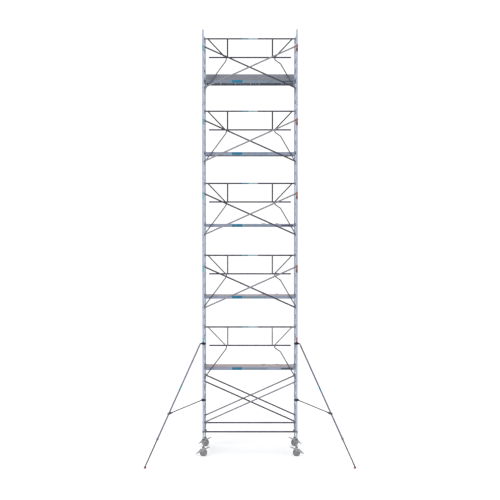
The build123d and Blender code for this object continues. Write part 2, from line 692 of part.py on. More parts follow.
def fork_strut():
    """Strut from the lower clamp; the two cheeks of its open fork straddle the main tube."""
    root = STRUT_TOTAL - FORK_REACH
    half = 12.0
    plug_r = STABILISER_STRUT_R - TUBE_WALL - 0.1
    tube = pipe((0, 0, -45), (0, 0, -root), STABILISER_STRUT_R)
    bridge = block((-half, -MAIN_R - 9, -root - FORK_ROOT), (half, MAIN_R + 9, -root))
    bridge += rod((0, 0, -root), (0, 0, -root + 40), plug_r)
    pieces = [tube, eye(44.8, 80, plug_r), bridge]
    cheek = [
        (-half, -root - FORK_ROOT),
        (half, -root - FORK_ROOT),
        (28, -STRUT_TOTAL + 10),
        (24, -STRUT_TOTAL - 16),
        (8, -STRUT_TOTAL - 28),
        (-16, -STRUT_TOTAL - 22),
        (-24, -STRUT_TOTAL + 4),
    ]
    for side in (-1, 1):
        y = sorted((side * (MAIN_R + 2), side * (MAIN_R + 9)))
        pieces.append(side_plate(cheek, y[0], y[1]))
    return pieces


def stabiliser_foot():
    """Rubber foot, upright, with two ears for the extension's eye."""
    body = rod((0, 0, 0), (0, 0, 22), FOOT_R)
    for side in (-1, 1):
        y = sorted((side * 9.0, side * 18.0))
        body += block((-15, y[0], 20), (15, y[1], FOOT_PIN))
        body += rod((0, y[0], FOOT_PIN), (0, y[1], FOOT_PIN), 15)
    body -= rod((0, -30, FOOT_PIN), (0, 30, FOOT_PIN), JOINT_PIN_R)
    pin = rod((0, -21, FOOT_PIN), (0, 21, FOOT_PIN), JOINT_PIN_R)
    return [body, pin]


def stabilisers():
    upper = hanging(UPPER_PIN, UPPER_CLAMP, SPREAD)
    lower = hanging(LOWER_PIN, LOWER_CLAMP, STRUT_SLOPE)
    clamps = post_clamp(UPPER_CLAMP, UPPER_PIN) + post_clamp(LOWER_CLAMP, LOWER_PIN)
    pieces = {
        "stabiliser_clamps": clamps,
        "stabiliser_tube": [upper * shape for shape in main_tube()],
        "stabiliser_strut": [lower * shape for shape in fork_strut()],
        "stabiliser_extension": [upper * shape for shape in extension_tube()],
        "stabiliser_foot": [Pos(FOOT_REACH, 0, 0) * shape for shape in stabiliser_foot()],
    }
    for name, side in SIDES.items():
        turn = -STABILISER_TURN if side > 0 else STABILISER_TURN - 180
        place = Pos(side * HALF_BAY, -HALF_DEPTH, 0) * Rot(0, 0, turn)
        for node, shapes in pieces.items():
            add(f"{node}_{name}", *[place * shape for shape in shapes])


def main():
    frames()
    locking_clips()
    diagonal_braces()
    horizontal_braces()
    guardrails()
    decks()
    toe_boards()
    castors()
    stabilisers()
    whole = Compound(children=[solid for solids in PARTS.values() for solid in solids])
    box = whole.bounding_box()
    to_origin = Pos(-(box.min.X + box.max.X) / 2, -(box.min.Y + box.max.Y) / 2, -box.min.Z)
    print("moved by", to_origin.position, "size", box.size)
    os.makedirs("parts", exist_ok=True)
    for name, solids in PARTS.items():
        node = to_origin * Compound(children=solids)
        node.label = name
        export_step(node, f"parts/{name}.step")


main()
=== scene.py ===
from math import cos, pi, radians, sin, sqrt

import bpy
import numpy as np
from mathutils import Matrix, Vector


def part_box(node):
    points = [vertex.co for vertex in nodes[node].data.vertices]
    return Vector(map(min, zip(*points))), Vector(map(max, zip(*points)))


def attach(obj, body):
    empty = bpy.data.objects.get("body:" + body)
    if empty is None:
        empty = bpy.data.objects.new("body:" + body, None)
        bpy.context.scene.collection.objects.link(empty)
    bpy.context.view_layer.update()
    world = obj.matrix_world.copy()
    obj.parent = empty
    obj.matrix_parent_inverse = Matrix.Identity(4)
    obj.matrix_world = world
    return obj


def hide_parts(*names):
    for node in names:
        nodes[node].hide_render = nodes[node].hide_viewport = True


# Looks of a mobile tower scaffold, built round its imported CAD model. Metres, +Z up,
# X along the decks, -Y to the stabiliser side.

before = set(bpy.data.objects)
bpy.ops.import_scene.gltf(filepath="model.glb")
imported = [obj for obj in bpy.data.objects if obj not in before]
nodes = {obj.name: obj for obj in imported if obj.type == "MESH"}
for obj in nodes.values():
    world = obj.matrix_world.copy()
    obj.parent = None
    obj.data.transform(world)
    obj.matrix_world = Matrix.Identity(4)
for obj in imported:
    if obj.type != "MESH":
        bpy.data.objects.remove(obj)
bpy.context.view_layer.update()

# ---- driving dimensions ------------------------------------------------------------
PITCH = 0.28
BASE_RUNGS = 4
FRAME_RUNGS = 7
LIFTS = 5
FIRST_DECK_RUNG = 6
RAIL_RUNGS = 4
POST_R = 0.0254
RUNG_R = 0.024
RAIL_R = 0.019
STRUT_R = 0.0165
MID_RAIL_DROP = 0.505
UPRIGHT_X = 0.61
STRUT_TOP_X = 1.15
STRUT_FOOT_X = 0.668
DECK_RISE = 0.018
BEAM_HEIGHT = 0.088
SCREW_R = 0.019
SCREW_BORE_R = 0.015
WHEEL_R = 0.1
RIM_R = 0.082
TYRE_HALF = 0.023
HUB_HALF = 0.029
AXLE_R = 0.00806
FORK_OUTSIDE = 0.037
FOOT_PIN = 0.04
STAND_OFF = 0.0002    # keeps a piece off the face it lies on

SIDES = {"left": -1, "right": 1}
CORNERS = {
    "front_left": (-1, -1),
    "front_right": (1, -1),
    "rear_left": (-1, 1),
    "rear_right": (1, 1),
}
UP = Vector((0, 0, 1))
ALONG = Vector((1, 0, 0))
ACROSS = Vector((0, 1, 0))


def middle(node):
    low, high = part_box(node)
    return (low + high) / 2


TOWER_Y = middle("base_frame_left").y
HALF_BAY = -middle("base_frame_left").x
HALF_DEPTH = (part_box("base_frame_left")[1].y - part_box("base_frame_left")[0].y) / 2 - POST_R
BASE_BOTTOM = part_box("base_frame_left")[0].z
RAIL_Y = middle("guardrail_frame_1").y


def rung_height(index):
    return BASE_BOTTOM + PITCH * (index + 0.5)


def deck_rung(lift):
    return FIRST_DECK_RUNG + FRAME_RUNGS * lift


def frame_bottom(lift):
    """Lower end of an upper ladder frame, lift 0 first."""
    return BASE_BOTTOM + PITCH * (BASE_RUNGS + FRAME_RUNGS * lift)


# ---- camera ------------------------------------------------------------------------
CAMERA_DISTANCE = 29.39
CAMERA_HEIGHT = 6.322
CAMERA_PITCH = 1.573
LENS = 77.54
SENSOR_WIDTH = 36.0
FAR_CLIP = 1500.0


def make_camera():
    data = bpy.data.cameras.new("camera")
    data.sensor_width = SENSOR_WIDTH
    data.lens = LENS
    data.clip_end = FAR_CLIP
    camera = bpy.data.objects.new("camera", data)
    camera.location = (0, TOWER_Y - CAMERA_DISTANCE, CAMERA_HEIGHT)
    camera.rotation_euler = (radians(90 - CAMERA_PITCH), 0, 0)
    bpy.context.scene.collection.objects.link(camera)
    bpy.context.scene.camera = camera


# ---- studio ------------------------------------------------------------------------
FLOOR_SIZE = 1600.0
FLOOR_PAPER = ((0.93, 0.93, 0.93), (0.95, 0.95, 0.95))
SURROUND_STRENGTH = 1.08
BACKDROP_STRENGTH = 1.1
WHITE = (1, 1, 1, 1)
SIDE_SHADE = (0.46, 0.48, 0.52, 1)
FADE_START = 0.35
FADE_END = 0.95
AREA_LIGHTS = (    # name, place, aim, size, power
    ("key_light", (-9, -14, 20), (0, 0, 4), 9.0, 1500.0),
    ("fill_light", (14, -10, 12), (0, 0, 5), 10.0, 500.0),
)
SUN_STRENGTH = 0.75
SUN_SPREAD = 50
SUN_PLACE = (3, -4, 30)


def make_studio():
    """A pale floor that runs to the horizon, a white surround, two soft lights and a soft sun."""
    mesh = bpy.data.meshes.new("floor")
    half = FLOOR_SIZE / 2
    corners = [(-half, -half, 0), (half, -half, 0), (half, half, 0), (-half, half, 0)]
    mesh.from_pydata(corners, [], [(0, 1, 2, 3)])
    floor = bpy.data.objects.new("floor", mesh)
    bpy.context.scene.collection.objects.link(floor)
    material, shader = blank("floor_paper")
    grain = noise(material, scale=3.0, detail=4.0)
    paper = ramp(material, grain, *FLOOR_PAPER)
    connect(material, paper, shader, "Base Color")
    shader.inputs["Roughness"].default_value = 0.85
    shader.inputs["Specular IOR Level"].default_value = 0.1
    mesh.materials.append(material)

    make_world()
    for name, place, aim, size, power in AREA_LIGHTS:
        data = bpy.data.lights.new(name, "AREA")
        data.shape = "SQUARE"
        data.size = size
        data.energy = power
        add_light(data, name, place, aim)
    sun = bpy.data.lights.new("soft_overhead", "SUN")
    sun.energy = SUN_STRENGTH
    sun.angle = radians(SUN_SPREAD)
    add_light(sun, "soft_overhead", SUN_PLACE, (0, 0, 0))


def add_light(data, name, place, aim):
    light = bpy.data.objects.new(name, data)
    light.location = place
    direction = Vector(aim) - Vector(place)
    light.rotation_euler = direction.to_track_quat("-Z", "Y").to_euler()
    bpy.context.scene.collection.objects.link(light)


def make_world():
    """A plain white backdrop to the camera; the light that reaches the object is dimmer
    towards both ends of the tower."""
    world = bpy.data.worlds.new("studio")
    world.use_nodes = True
    tree = world.node_tree
    surround = tree.nodes["Background"]
    surround.inputs["Strength"].default_value = SURROUND_STRENGTH
    coords = tree.nodes.new("ShaderNodeTexCoord")
    parts = tree.nodes.new("ShaderNodeSeparateXYZ")
    tree.links.new(coords.outputs["Generated"], parts.inputs["Vector"])
    sideways = tree.nodes.new("ShaderNodeMath")
    sideways.operation = "ABSOLUTE"
    tree.links.new(parts.outputs["X"], sideways.inputs[0])
    fade = tree.nodes.new("ShaderNodeValToRGB")
    fade.color_ramp.elements[0].position = FADE_START
    fade.color_ramp.elements[0].color = WHITE
    fade.color_ramp.elements[1].position = FADE_END
    fade.color_ramp.elements[1].color = SIDE_SHADE
    tree.links.new(sideways.outputs["Value"], fade.inputs["Fac"])
    tree.links.new(fade.outputs["Color"], surround.inputs["Color"])
    backdrop = tree.nodes.new("ShaderNodeBackground")
    backdrop.inputs["Color"].default_value = WHITE
    backdrop.inputs["Strength"].default_value = BACKDROP_STRENGTH
    rays = tree.nodes.new("ShaderNodeLightPath")
    choice = tree.nodes.new("ShaderNodeMixShader")
    tree.links.new(rays.outputs["Is Camera Ray"], choice.inputs["Fac"])
    tree.links.new(surround.outputs["Background"], choice.inputs[1])
    tree.links.new(backdrop.outputs["Background"], choice.inputs[2])
    tree.links.new(choice.outputs["Shader"], tree.nodes["World Output"].inputs["Surface"])
    bpy.context.scene.world = world
    bpy.context.scene.view_settings.view_transform = "Standard"


# ---- material helpers --------------------------------------------------------------
def blank(name):
    material = bpy.data.materials.new(name)
    material.use_nodes = True
    return material, material.node_tree.nodes["Principled BSDF"]


def new_node(material, kind, **settings):
    made = material.node_tree.nodes.new(kind)
    for key, value in settings.items():
        setattr(made, key, value)
    return made


def connect(material, output, target, socket):
    material.node_tree.links.new(output, target.inputs[socket])


def object_coords(material, stretch=(1, 1, 1), turn=0.0):
    """Object coordinates, turned about Y and then stretched."""
    coords = new_node(material, "ShaderNodeTexCoord").outputs["Object"]
    turned = new_node(material, "ShaderNodeMapping")
    turned.inputs["Rotation"].default_value = (0, radians(turn), 0)
    connect(material, coords, turned, "Vector")
    scaled = new_node(material, "ShaderNodeMapping")
    scaled.inputs["Scale"].default_value = stretch
    connect(material, turned.outputs["Vector"], scaled, "Vector")
    return scaled.outputs["Vector"]


def noise(material, scale, detail=3.0, stretch=(1, 1, 1), turn=0.0, roughness=0.55):
    made = new_node(material, "ShaderNodeTexNoise")
    made.inputs["Scale"].default_value = scale
    made.inputs["Detail"].default_value = detail
    made.inputs["Roughness"].default_value = roughness
    connect(material, object_coords(material, stretch, turn), made, "Vector")
    return made.outputs["Fac"]


def ramp(material, factor, dark, light, low=0.35, high=0.65):
    made = new_node(material, "ShaderNodeValToRGB")
    stops = made.color_ramp.elements
    stops[0].position, stops[1].position = low, high
    stops[0].color = (*dark, 1)
    stops[1].color = (*light, 1)
    connect(material, factor, made, "Fac")
    return made.outputs["Color"]


def mix(material, factor, first, second):
    """Mix a colour output with a second one or a colour; the factor is a number or an output."""
    made = new_node(material, "ShaderNodeMix", data_type="RGBA")
    if isinstance(factor, (int, float)):
        made.inputs[0].default_value = factor
    else:
        material.node_tree.links.new(factor, made.inputs[0])
    material.node_tree.links.new(first, made.inputs[6])
    if isinstance(second, tuple):
        made.inputs[7].default_value = (*second, 1)
    else:
        material.node_tree.links.new(second, made.inputs[7])
    return made.outputs[2]


def grey_range(material, factor, low_value, high_value, low=0.3, high=0.7):
    made = new_node(material, "ShaderNodeMapRange")
    made.inputs["From Min"].default_value = low
    made.inputs["From Max"].default_value = high
    made.inputs["To Min"].default_value = low_value
    made.inputs["To Max"].default_value = high_value
    connect(material, factor, made, "Value")
    return made.outputs["Result"]


def bump(material, shader, height, strength, distance):
    made = new_node(material, "ShaderNodeBump")
    made.inputs["Strength"].default_value = strength
    made.inputs["Distance"].default_value = distance
    connect(material, height, made, "Height")
    connect(material, made.outputs["Normal"], shader, "Normal")


def shade(colour, amount):
    return tuple(min(1.0, channel * amount) for channel in colour)


# ---- materials ---------------------------------------------------------------------
# Noise stretched this way draws lines along the named axis.
STRETCH = {"x": (1.2, 260, 260), "y": (260, 1.2, 260), "z": (260, 260, 1.2)}
BLACK_TO_WHITE = ((0, 0, 0), (1, 1, 1))


def aluminium(name, colour, along, turn=0.0, metallic=0.9, roughness=0.36, edge=1.0):
    """Extruded tube: die lines along it, oxide clouds, fine scratches and handling wear.

    An edge below 1 dims the bright rim that metal shows at a grazing angle.
    """
    material, shader = blank(name)
    lines = noise(material, 1.0, 2.0, STRETCH[along], turn)
    clouds = noise(material, 5.0, 5.0, roughness=0.62)
    scratches = noise(material, 1.0, 1.0, shade(STRETCH[along], 2.6), turn + 4.0, 0.8)
    drawn = ramp(material, lines, shade(colour, 0.86), shade(colour, 1.08), 0.3, 0.7)
    clouded = ramp(material, clouds, shade(colour, 0.84), shade(colour, 1.1), 0.3, 0.68)
    base = mix(material, 0.5, drawn, clouded)
    marks = ramp(material, scratches, *BLACK_TO_WHITE, 0.66, 0.74)
    worn = mix(material, marks, base, shade(colour, 1.28))
    connect(material, worn, shader, "Base Color")
    shader.inputs["Metallic"].default_value = metallic
    shader.inputs["Specular Tint"].default_value = (edge, edge, edge, 1)
    connect(material, grey_range(material, clouds, roughness - 0.07, roughness + 0.12), shader, "Roughness")
    bump(material, shader, lines, 0.25, 0.0002)
    return material


def cast_metal(name, colour, metallic=0.75, roughness=0.5, grain=420.0):
    """Cast or plated piece: granular skin, darker in the pits, brighter where rubbed."""
    material, shader = blank(name)
    skin = noise(material, grain, 4.0)
    rubbed = noise(material, 26.0, 5.0, roughness=0.7)
    base = ramp(material, skin, shade(colour, 0.8), shade(colour, 1.1), 0.3, 0.7)
    wear = ramp(material, rubbed, *BLACK_TO_WHITE, 0.58, 0.72)
    connect(material, mix(material, wear, base, shade(colour, 1.35)), shader, "Base Color")
    shader.inputs["Metallic"].default_value = metallic
    connect(material, grey_range(material, rubbed, roughness + 0.1, roughness - 0.12), shader, "Roughness")
    bump(material, shader, skin, 0.35, 0.0004)
    return material


def moulded(name, colour, roughness=0.55, grain=650.0, dust=0.12):
    """Moulded plastic or rubber with a fine texture and a little dust."""
    material, shader = blank(name)
    skin = noise(material, grain, 3.0)
    patches = noise(material, 9.0, 5.0, roughness=0.65)
    base = ramp(material, skin, shade(colour, 0.85), shade(colour, 1.12), 0.3, 0.7)
    dusty = tuple(c + dust * (0.55 - c) for c in colour)
    settled = ramp(material, patches, *BLACK_TO_WHITE, 0.45, 0.75)
    connect(material, mix(material, settled, base, dusty), shader, "Base Color")
    connect(material, grey_range(material, patches, roughness - 0.08, roughness + 0.14), shader, "Roughness")
    bump(material, shader, skin, 0.3, 0.0003)
    return material


def plywood(name, film, edge):
    """Film-faced board: imprinted mesh on both faces, glued plies showing at the edges."""
    material, shader = blank(name)
    coords = new_node(material, "ShaderNodeTexCoord")
    parts = new_node(material, "ShaderNodeSeparateXYZ")
    connect(material, coords.outputs["Normal"], parts, "Vector")
    up = new_node(material, "ShaderNodeMath", operation="ABSOLUTE")
    connect(material, parts.outputs["Z"], up, 0)
    face = grey_range(material, up.outputs["Value"], 0.0, 1.0, 0.4, 0.6)

    cells = new_node(material, "ShaderNodeTexVoronoi", feature="DISTANCE_TO_EDGE")
    cells.inputs["Scale"].default_value = 1.0
    cells.inputs["Randomness"].default_value = 0.12
    connect(material, object_coords(material, (170, 150, 60)), cells, "Vector")
    mesh_lines = grey_range(material, cells.outputs["Distance"], 0.0, 1.0, 0.02, 0.12)
    grain = noise(material, 1.0, 6.0, (3, 60, 60), roughness=0.7)
    scuffs = noise(material, 7.0, 6.0, (1, 2.2, 1), roughness=0.7)
    film_colour = ramp(material, grain, shade(film, 0.82), shade(film, 1.12), 0.3, 0.7)
    scuffed = ramp(material, scuffs, *BLACK_TO_WHITE, 0.56, 0.78)
    film_worn = mix(material, scuffed, film_colour, shade(film, 1.3))

    plies = new_node(material, "ShaderNodeTexWave", wave_type="BANDS", bands_direction="Z")
    plies.inputs["Scale"].default_value = 105.0
    plies.inputs["Distortion"].default_value = 0.6
    connect(material, object_coords(material), plies, "Vector")
    ply_colour = ramp(material, plies.outputs["Fac"], shade(edge, 0.68), shade(edge, 1.15), 0.25, 0.75)
    connect(material, mix(material, face, ply_colour, film_worn), shader, "Base Color")
    connect(material, grey_range(material, scuffs, 0.42, 0.66), shader, "Roughness")
    bump(material, shader, mesh_lines, 0.4, 0.0006)
    return material


def label_film(name, colour, stripes=None):
    """Printed film: satin, faintly mottled, scuffed; stripes is a second colour in bars."""
    material, shader = blank(name)
    scuffs = noise(material, 60.0, 5.0, roughness=0.7)
    base = ramp(material, scuffs, shade(colour, 0.88), shade(colour, 1.1), 0.3, 0.7)
    if stripes:
        bars = new_node(material, "ShaderNodeTexWave", wave_type="BANDS", bands_direction="X")
        bars.inputs["Scale"].default_value = 16.0
        connect(material, object_coords(material), bars, "Vector")
        printed = ramp(material, bars.outputs["Fac"], *BLACK_TO_WHITE, 0.46, 0.54)
        base = mix(material, printed, base, stripes)
    connect(material, base, shader, "Base Color")
    shader.inputs["Specular IOR Level"].default_value = 0.2
    connect(material, grey_range(material, scuffs, 0.3, 0.5), shader, "Roughness")
    bump(material, shader, scuffs, 0.1, 0.0002)
    return material


POST_COLOUR = (0.4, 0.445, 0.55)
# Rungs: the posts' aluminium painted darker, a painted shade for the shade between the front and rear posts
RUNG_PAINTED_SHADE_COLOUR = (0.16, 0.18, 0.23)
# Rails: near black, darker than the tube's own dark grey; partly own colour, partly painted shade for the
# tube's shaded side
RAIL_COLOUR_WITH_PAINTED_SHADE = (0.038, 0.034, 0.056)
# Uprights and struts: near black at the top lift, a painted shade darker than the tube's own colour
STRUT_COLOUR = (0.03, 0.031, 0.032)
STRUT_PAINTED_LIGHT_BY_LIFT = (8.5, 4.5, 2.2, 1.2, 1.0)    # painted light: the lower lifts' uprights and struts are painted paler, for the light they catch; the tubes are one aluminium
LEG_COLOUR = (0.12, 0.12, 0.15)
# Braces: one aluminium in a darker and a paler copy; the paler one on the rising diagonals is painted light
BRACE_COLOUR = (0.075, 0.068, 0.088)
PAINTED_LIT_BRACE_COLOUR = (0.2, 0.2, 0.23)
HORIZONTAL_COLOUR = (0.06, 0.057, 0.08)
STABILISER_COLOUR = (0.15, 0.15, 0.19)
INNER_TUBE_COLOUR = (0.09, 0.09, 0.115)
DECK_COLOUR = (0.26, 0.29, 0.38)
TOP_DECK_COLOUR = (0.19, 0.22, 0.28)
# Inside of the deck frames: the deck aluminium painted much darker, a painted shade for the shade between
# and under the side beams
DECK_INSIDE_PAINTED_SHADE_COLOUR = (0.07, 0.08, 0.105)
FILM_COLOUR = (0.34, 0.265, 0.265)
PLY_COLOUR = (0.5, 0.36, 0.24)
TOE_BOARD_COLOUR = (0.075, 0.092, 0.14)
TOE_BOARD_EDGE_COLOUR = (0.17, 0.18, 0.21)
RAIL_EDGE = 0.3     # rails and uprights
BRACE_EDGE = 0.4

MATERIALS = {
    "post": aluminium("post_aluminium", POST_COLOUR, "z"),
    "rung": aluminium("rung_aluminium", RUNG_PAINTED_SHADE_COLOUR, "y"),
    "rail": aluminium("rail_aluminium", RAIL_COLOUR_WITH_PAINTED_SHADE, "x", edge=RAIL_EDGE),
    "leg": aluminium("leg_tube_aluminium", LEG_COLOUR, "z"),
    "brace": aluminium("brace_aluminium", BRACE_COLOUR, "x", edge=BRACE_EDGE),
    "painted_lit_brace": aluminium("painted_lit_brace_aluminium", PAINTED_LIT_BRACE_COLOUR, "x"),
    "horizontal": aluminium("horizontal_aluminium", HORIZONTAL_COLOUR, "x", edge=BRACE_EDGE),
    "stabiliser": aluminium("stabiliser_aluminium", STABILISER_COLOUR, "z"),
    "inner_tube": aluminium("inner_tube_aluminium", INNER_TUBE_COLOUR, "z"),
    "deck": aluminium("deck_aluminium", DECK_COLOUR, "x", metallic=0.75, roughness=0.42),
    "top_deck": aluminium("top_deck_aluminium", TOP_DECK_COLOUR, "x", metallic=0.75, roughness=0.42),
    "painted_shade_deck_inside": aluminium("painted_shade_inner_deck_aluminium", DECK_INSIDE_PAINTED_SHADE_COLOUR, "x", metallic=0.6),
    "claw": cast_metal("claw_casting", (0.16, 0.165, 0.19)),
    "latch": cast_metal("latch_spring_steel", (0.34, 0.34, 0.36), 0.9, 0.35, 900.0),
    "weld": cast_metal("weld_metal", (0.5, 0.52, 0.58), 0.9, 0.4, 900.0),
    "zinc": cast_metal("zinc_steel", (0.32, 0.33, 0.34), 0.85, 0.4, 260.0),
    "dark_zinc": cast_metal("dark_zinc_steel", (0.1, 0.1, 0.095), 0.7, 0.45, 260.0),
    "clamp": cast_metal("clamp_black", (0.012, 0.016, 0.02), 0.4, 0.45),
    "plywood": plywood("plywood_film", FILM_COLOUR, PLY_COLOUR),
    "toe_board": plywood("toe_board_film", TOE_BOARD_COLOUR, TOE_BOARD_EDGE_COLOUR),
    "tyre": moulded("castor_tyre", (0.075, 0.075, 0.07)),
    "rim": moulded("castor_rim", (0.27, 0.27, 0.265), 0.45),
    "foot": moulded("foot_rubber", (0.16, 0.03, 0.03), 0.6),
    "cap": moulded("cap_plastic", (0.05, 0.05, 0.06), 0.45),
    "teal": label_film("label_teal", (0.008, 0.14, 0.23)),
    "pale_teal": label_film("label_pale_teal", (0.14, 0.33, 0.4)),
    "orange": label_film("label_orange", (0.27, 0.1, 0.05)),
    "dark_red": label_film("label_dark_red", (0.11, 0.022, 0.016)),
    "dark_plate": label_film("label_dark", (0.07, 0.075, 0.09)),
    "pale": label_film("label_pale", (0.2, 0.31, 0.32)),
    "barred": label_film("label_barred", (0.24, 0.3, 0.36), (0.07, 0.12, 0.15)),
}
# One upright material per lift, painted paler towards the bottom: painted light, not a real difference in
# the tubes
for lift, amount in enumerate(STRUT_PAINTED_LIGHT_BY_LIFT):
    name = f"upright_painted_light_{lift + 1}"
    MATERIALS[name] = aluminium(name, shade(STRUT_COLOUR, amount), "z", edge=RAIL_EDGE)


# ---- giving the CAD nodes their materials ------------------------------------------
def face_centres(obj):
    mesh = obj.data
    centres = np.zeros(len(mesh.polygons) * 3)
    mesh.polygons.foreach_get("center", centres)
    return centres.reshape(-1, 3)


def finish_node(name, base, *rules):
    """One material for the node, and others where a rule holds for a face's centre."""
    obj = nodes[name]
    mesh = obj.data
    mesh.materials.clear()
    mesh.materials.append(MATERIALS[base])
    centres = face_centres(obj)
    index = np.zeros(len(centres), np.int32)
    for number, (material, rule) in enumerate(rules, 1):
        mesh.materials.append(MATERIALS[material])
        index[rule(centres)] = number
    mesh.polygons.foreach_set("material_index", index)
    mesh.update()


def near_line(start, end, radius):
    """Rule: a face's centre lies within radius of the line between two X-Z points."""
    start, end = np.array(start), np.array(end)
    run = end - start
    length = np.hypot(*run)

    def rule(c):
        offset = c[:, [0, 2]] - start
        across = np.abs(offset[:, 0] * run[1] - offset[:, 1] * run[0]) / length
        share = offset @ run / length ** 2
        return (across < radius) & (share > -0.01) & (share < 1.01)

    return rule


def far_from_posts(gap):
    return lambda c: np.abs(np.abs(c[:, 1] - TOWER_Y) - HALF_DEPTH) > gap


def claw_ends(reach):
    """Rule: the last stretch at each end of the bay."""
    return lambda c: np.abs(c[:, 0]) > HALF_BAY - reach


def in_front_of(y):
    return lambda c: c[:, 1] < y


def near_level(z, gap):
    return lambda c: np.abs(c[:, 2] - z) < gap


def above(z):
    return lambda c: c[:, 2] > z


def between_beams(low, high, wall):
    """Rule: further in than a wall's thickness from both long sides of a deck."""
    return lambda c: (c[:, 1] > low.y + wall) & (c[:, 1] < high.y - wall)


BRACE_CLAW = 0.062
GUARDRAIL_CLAW = 0.055
DECK_HOOK = 0.033
BEAM_WALL = 0.031
TUBE_MARGIN = 0.002     # slack round a tube when its faces are picked out


def dress_frames():
    names = [f"base_frame_{side}" for side in SIDES]
    names += [f"ladder_frame_{side}_{lift + 1}" for side in SIDES for lift in range(LIFTS)]
    for name in names:
        # The rungs take the darker rung material, which carries painted shade
        finish_node(name, "post", ("rung", far_from_posts(POST_R)))
    finish_node("frame_locking_clips", "latch")


# The two diagonals of a pair lie in different planes; the rising ones are painted paler, a painted highlight
# for the light they catch, though all braces are one aluminium.
BRACE_PLANES = 0.553


def dress_braces():
    for name, sign in (("front_diagonal_braces", -1), ("rear_diagonal_braces", 1)):
        rising = in_front_of(TOWER_Y + sign * BRACE_PLANES)
        finish_node(name, "brace", ("painted_lit_brace", rising), ("claw", claw_ends(BRACE_CLAW)))
    finish_node("horizontal_braces", "horizontal", ("claw", claw_ends(BRACE_CLAW)))


def dress_guardrails():
    for lift in range(LIFTS):
        top = rung_height(deck_rung(lift) + RAIL_RUNGS)
        mid = top - MID_RAIL_DROP
        rules = [("rail", near_level(z, RAIL_R + TUBE_MARGIN / 2)) for z in (top, mid)]
        for side in SIDES.values():
            strut = ((side * STRUT_TOP_X, top), (side * STRUT_FOOT_X, mid))
            upright = ((side * UPRIGHT_X, top), (side * UPRIGHT_X, mid))
            # Uprights and struts take their lift's upright material, which carries painted light
            rules.insert(0, (f"upright_painted_light_{lift + 1}", near_line(*strut, STRUT_R + TUBE_MARGIN)))
            rules.insert(0, (f"upright_painted_light_{lift + 1}", near_line(*upright, RAIL_R + TUBE_MARGIN)))
        rules.append(("claw", claw_ends(GUARDRAIL_CLAW)))
        finish_node(f"guardrail_frame_{lift + 1}", "leg", *rules)


def dress_decks():
    for lift in range(LIFTS):
        # Faces between the side beams get painted shade
        inside = between_beams(*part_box(f"platform_frame_{lift + 1}"), BEAM_WALL)
        hooks = claw_ends(DECK_HOOK)
        side = "top_deck" if lift == LIFTS - 1 else "deck"
        finish_node(f"platform_frame_{lift + 1}", side, ("painted_shade_deck_inside", inside), ("claw", hooks))
        fittings = above(rung_height(deck_rung(lift)) + DECK_RISE + STAND_OFF)
        finish_node(f"trapdoor_{lift + 1}", "plywood", ("zinc", fittings))
    finish_node("platform_boards", "plywood")
    finish_node("toe_boards", "toe_board")


def dress_legs_and_stabilisers():
    finish_node("leg_adjusting_nuts", "dark_zinc")
    for corner in CORNERS:
        finish_node(f"castor_fork_{corner}", "zinc")
        finish_node(f"brake_pedal_{corner}", "zinc")
    for side in SIDES:
        finish_node(f"stabiliser_clamps_{side}", "clamp")
        finish_node(f"stabiliser_tube_{side}", "stabiliser")
        finish_node(f"stabiliser_strut_{side}", "inner_tube")
        finish_node(f"stabiliser_extension_{side}", "inner_tube")
        finish_node(f"stabiliser_foot_{side}", "foot")


# ---- mesh helpers ------------------------------------------------------------------
class Shape:
    """Vertices and faces gathered for one piece."""

    def __init__(self):
        self.points = []
        self.faces = []

    def add(self, points, faces):
        start = len(self.points)
        self.points += [Vector(p) for p in points]
        self.faces += [tuple(start + i for i in face) for face in faces]

    def moved(self, matrix):
        copy = Shape()
        copy.points = [matrix @ p for p in self.points]
        copy.faces = list(self.faces)
        return copy

    def join(self, other):
        self.add(other.points, other.faces)


SMOOTH_BELOW = 40.0


def make_piece(name, shape, material, body, replaces=()):
    mesh = bpy.data.meshes.new(name)
    mesh.from_pydata([tuple(p) for p in shape.points], [], shape.faces)
    mesh.validate()
    mesh.materials.append(MATERIALS[material])
    piece = bpy.data.objects.new(name, mesh)
    bpy.context.scene.collection.objects.link(piece)
    mesh.shade_smooth()
    mesh.set_sharp_from_angle(angle=radians(SMOOTH_BELOW))
    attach(piece, body)
    if replaces:
        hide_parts(*replaces)


def grid_faces(rows, columns, wrap_rows=False, wrap_columns=False):
    """Quads over a grid of points stored row by row."""
    faces = []
    for r in range(rows if wrap_rows else rows - 1):
        for c in range(columns if wrap_columns else columns - 1):
            here = r * columns
            below = (r + 1) % rows * columns
            beside = (c + 1) % columns
            faces.append((here + c, here + beside, below + beside, below + c))
    return faces


def side_vectors(axis):
    """Two unit vectors at right angles to an axis."""
    axis = axis.normalized()
    helper = UP if abs(axis.z) < 0.9 else ALONG
    u = axis.cross(helper).normalized()
    return u, axis.cross(u)


def lathe(profile, steps, closed=True):
    """Turn a closed (radius, height) outline round the Z axis."""
    shape = Shape()
    points = []
    for r, z in profile:
        for k in range(steps):
            angle = 2 * pi * k / steps
            points.append((r * cos(angle), r * sin(angle), z))
    shape.add(points, grid_faces(len(profile), steps, closed, True))
    return shape


def dome(radius, height, rings=3, steps=10):
    """Domed head with its flat side on z = 0."""
    shape = Shape()
    points = []
    for ring in range(rings):
        angle = pi / 2 * ring / rings
        for k in range(steps):
            turn = 2 * pi * k / steps
            r = radius * cos(angle)
            points.append((r * cos(turn), r * sin(turn), height * sin(angle)))
    points.append((0, 0, height))
    faces = grid_faces(rings, steps, False, True)
    top = rings * steps
    last = (rings - 1) * steps
    faces += [(last + k, last + (k + 1) % steps, top) for k in range(steps)]
    faces.append(tuple(reversed(range(steps))))
    shape.add(points, faces)
    return shape


